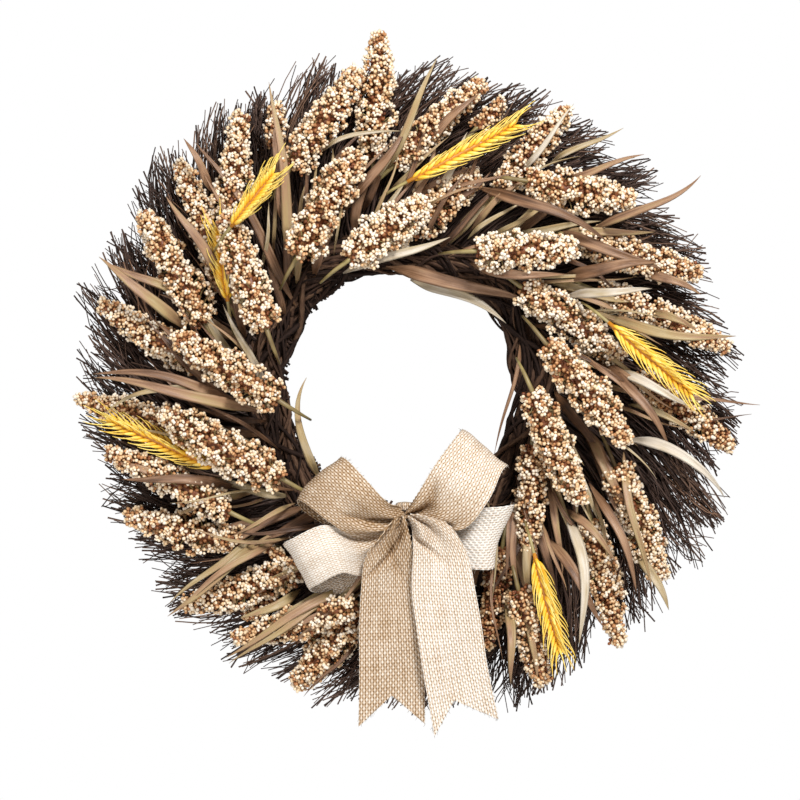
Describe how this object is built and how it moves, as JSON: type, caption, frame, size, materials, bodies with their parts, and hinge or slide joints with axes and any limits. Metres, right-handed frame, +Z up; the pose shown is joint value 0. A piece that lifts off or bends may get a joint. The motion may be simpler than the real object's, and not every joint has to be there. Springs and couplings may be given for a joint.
{
  "type": "harvest door wreath",
  "caption": "Round autumn door wreath of dark twigs with sorghum heads, yellow wheat ears, dry grass leaves and a burlap bow, on a wire and vine ring with a hanging ring.",
  "frame": {"origin": "the hook point: top of the inside of the hanging ring, on the ring's centre plane", "axes": "+Z up, -Y the front that faces the room, +Y towards the door, +X to the right seen from the room"},
  "size_m": [0.5005, 0.127, 0.533],
  "materials": {
    "steel": "drawn wire and strip, slightly dull",
    "tie_wire": "dark annealed binding wire",
    "vine": "rough dark vine bark",
    "twigs": "fine dark broom twigs, reddish to grey brown",
    "sorghum": "small rounded seeds, cream to red brown, satin",
    "wheat": "moulded yellow ears with pale awns",
    "leaves": "thin pressed leaf sheet, brown, olive and silvery, low sheen",
    "burlap": "open plain jute weave"
  },
  "bodies": {
    "wreath": {"wire_frame": "steel", "vine_base": "vine", "twig_fan_1": "twigs", "twig_fan_2": "twigs", "twig_fan_3": "twigs", "twig_fan_4": "twigs", "twig_fan_5": "twigs", "twig_fan_6": "twigs", "leaf_spray_1": "leaves", "leaf_spray_2": "leaves", "leaf_spray_3": "leaves", "leaf_spray_4": "leaves", "sorghum_head_01": "sorghum", "sorghum_head_02": "sorghum", "sorghum_head_03": "sorghum", "sorghum_head_04": "sorghum", "sorghum_head_05": "sorghum", "sorghum_head_06": "sorghum", "sorghum_head_07": "sorghum", "sorghum_head_08": "sorghum", "sorghum_head_09": "sorghum", "sorghum_head_10": "sorghum", "sorghum_head_11": "sorghum", "sorghum_head_12": "sorghum", "sorghum_head_13": "sorghum", "sorghum_head_14": "sorghum", "sorghum_head_15": "sorghum", "sorghum_head_16": "sorghum", "sorghum_head_17": "sorghum", "sorghum_head_18": "sorghum", "sorghum_head_19": "sorghum", "sorghum_head_20": "sorghum", "sorghum_head_21": "sorghum", "sorghum_head_22": "sorghum", "sorghum_head_23": "sorghum", "sorghum_head_24": "sorghum", "sorghum_head_25": "sorghum", "sorghum_head_26": "sorghum", "sorghum_head_27": "sorghum", "sorghum_head_28": "sorghum", "sorghum_head_29": "sorghum", "sorghum_head_30": "sorghum", "sorghum_head_31": "sorghum", "sorghum_head_32": "sorghum", "sorghum_head_33": "sorghum", "wheat_ear_1": "wheat", "wheat_ear_2": "wheat", "wheat_ear_3": "wheat", "wheat_ear_4": "wheat", "wheat_ear_5": "wheat", "wheat_ear_6": "wheat", "bow_loop_upper_left": "burlap", "bow_loop_lower_left": "burlap", "bow_loop_upper_right": "burlap", "bow_loop_lower_right": "burlap", "bow_tail_left": "burlap", "bow_tail_right": "burlap", "bow_centre": "burlap", "bow_tie_wire": "tie_wire"},
    "hanger": {"hanging_ring": "steel"}
  },
  "joints": [
    {"name": "ring_swing", "type": "hinge", "parent": "wreath", "child": "hanger", "pos_m": [0, 0, -0.0205], "axis": [-1, 0, 0], "range_deg": [0, 150]}
  ]
}
